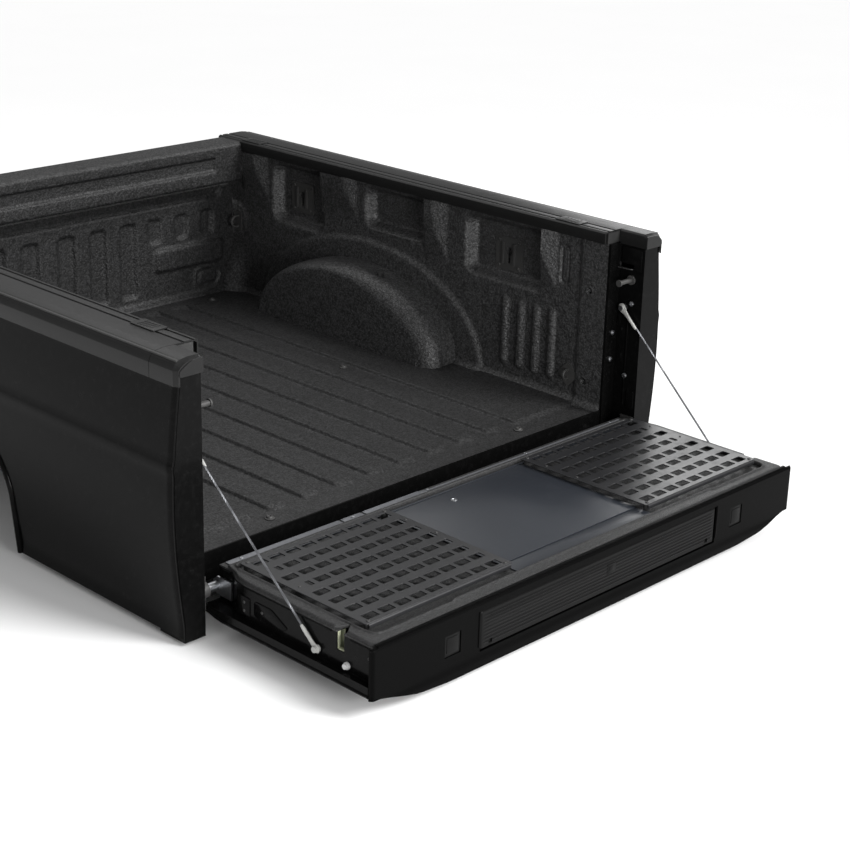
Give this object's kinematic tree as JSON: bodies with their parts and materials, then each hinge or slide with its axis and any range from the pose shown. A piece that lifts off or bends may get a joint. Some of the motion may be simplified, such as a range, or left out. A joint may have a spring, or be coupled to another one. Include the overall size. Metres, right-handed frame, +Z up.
{
  "type": "lined pickup bed with tailgate",
  "caption": "Open pickup truck bed with sprayed liner, wheel arches, rail caps and a let-down tailgate that carries slotted gear panels and a pull-out step.",
  "frame": {"origin": "centre of the whole at the height of the mounting pads' undersides, tailgate open", "axes": "+X to the right when facing the cab, +Y forwards to the cab, +Z up"},
  "size_m": [1.8118, 2.398, 0.726],
  "materials": {
    "liner_floor": "sprayed bed coating, coarse speckle, worn to satin",
    "liner_wall": "sprayed bed coating, coarse speckle",
    "pan_metal": "black primer on sheet",
    "frame_metal": "black powder coat",
    "rail_plastic": "fine moulded grain, satin",
    "gloss_black": "gloss black paint",
    "gate_plastic": "moulded grain, satin",
    "panel_coat": "satin black powder coat",
    "plate_coat": "blue-grey satin paint",
    "trim_metal": "satin",
    "zinc": "bright zinc plate",
    "yellow_zinc": "yellow passivated zinc plate",
    "dark_steel": "black oxide",
    "cable_steel": "galvanised strand",
    "pale_fitting": "pale plated",
    "rubber_black": "matt",
    "bumper_pale": "pale moulded"
  },
  "bodies": {
    "bed": {"floor_liner": "liner_floor", "floor_pan": "pan_metal", "front_wall_liner": "liner_wall", "front_header": "liner_wall", "side_liner_left": "liner_wall", "side_liner_right": "liner_wall", "wheel_arch_liner_left": "liner_wall", "wheel_arch_liner_right": "liner_wall", "rail_cap_left": "rail_plastic", "rail_cap_right": "rail_plastic", "stake_pocket_covers": "rail_plastic", "corner_post_left": "gloss_black", "corner_post_right": "gloss_black", "side_frame_left": "frame_metal", "side_frame_right": "frame_metal", "outer_panel_left": "gloss_black", "outer_panel_right": "gloss_black", "rear_sill": "gloss_black", "cross_sills": "frame_metal", "mount_pads": "rubber_black", "tie_down_plates": "dark_steel", "tie_plate_screws": "dark_steel", "floor_bolts": "dark_steel", "front_tie_loops": "dark_steel", "rear_tie_downs": "dark_steel", "strikers": "dark_steel", "cable_studs": "zinc", "post_bolts": "zinc", "hinge_cups": "dark_steel", "upper_cable_ends": "pale_fitting", "arch_plugs": "rubber_black", "check_cable_left": "cable_steel", "check_cable_right": "cable_steel"},
    "tailgate": {"tailgate_shell": "gloss_black", "tailgate_inner_panel": "pan_metal", "tailgate_rim": "liner_wall", "tailgate_top_cap": "gate_plastic", "cap_plugs": "gate_plastic", "centre_plate": "plate_coat", "slotted_panel_left": "panel_coat", "slotted_panel_right": "panel_coat", "panel_spacers": "rubber_black", "panel_screws": "dark_steel", "edge_trim_strip": "trim_metal", "trim_screws": "zinc", "side_latches": "yellow_zinc", "bump_stops": "bumper_pale", "hinge_trunnions": "zinc", "lower_cable_ends": "pale_fitting", "handle_bezel": "gate_plastic", "step_guides": "frame_metal"},
    "latch_claw_left": {"latch_claw_left": "zinc"},
    "latch_claw_right": {"latch_claw_right": "zinc"},
    "release_handle": {"release_handle": "gate_plastic"},
    "latch_rod_left": {"latch_rod_left": "zinc"},
    "latch_rod_right": {"latch_rod_right": "zinc"},
    "step_carriage": {"step_carriage": "gate_plastic"},
    "step_flap": {"step_flap": "gate_plastic"},
    "step_button": {"step_button": "gate_plastic"}
  },
  "joints": [
    {"name": "tailgate_hinge", "type": "hinge", "parent": "bed", "child": "tailgate", "pos_m": [0, -0.616, 0.12], "axis": [-1, 0, 0], "range_deg": [0, 90], "deforming": ["check_cable_left", "check_cable_right"]},
    {"name": "release_handle_pull", "type": "hinge", "parent": "tailgate", "child": "release_handle", "pos_m": [0, -1.001, 0.044], "axis": [-1, 0, 0], "range_deg": [0, 30], "stiffness_Nm_per_rad": 3, "springref_deg": -14.32},
    {"name": "latch_rod_left_slide", "type": "slide", "parent": "tailgate", "child": "latch_rod_left", "axis": [1, 0, 0], "range_m": [0, 0.012]},
    {"name": "latch_rod_right_slide", "type": "slide", "parent": "tailgate", "child": "latch_rod_right", "axis": [-1, 0, 0], "range_m": [0, 0.012]},
    {"name": "latch_claw_left_turn", "type": "hinge", "parent": "tailgate", "child": "latch_claw_left", "pos_m": [-0.767, -1.102, 0.131], "axis": [-1, 0, 0], "range_deg": [0, 40], "stiffness_Nm_per_rad": 0.2, "springref_deg": -17.19},
    {"name": "latch_claw_right_turn", "type": "hinge", "parent": "tailgate", "child": "latch_claw_right", "pos_m": [0.767, -1.102, 0.131], "axis": [-1, 0, 0], "range_deg": [0, 40], "stiffness_Nm_per_rad": 0.2, "springref_deg": -17.19},
    {"name": "step_slide", "type": "slide", "parent": "tailgate", "child": "step_carriage", "axis": [0, -1, 0], "range_m": [0, 0.28]},
    {"name": "step_flap_fold", "type": "hinge", "parent": "step_carriage", "child": "step_flap", "pos_m": [0, -1.194, 0.064], "axis": [1, 0, 0], "range_deg": [0, 90]},
    {"name": "step_button_press", "type": "slide", "parent": "step_flap", "child": "step_button", "axis": [0, 1, 0], "range_m": [0, 0.003], "stiffness_N_per_m": 400, "springref_m": -0.004}
  ],
  "couplings": [
    {"joint": "latch_rod_left_slide", "follows": "release_handle_pull", "m_per_rad": 0.022},
    {"joint": "latch_rod_right_slide", "follows": "release_handle_pull", "m_per_rad": 0.022}
  ]
}
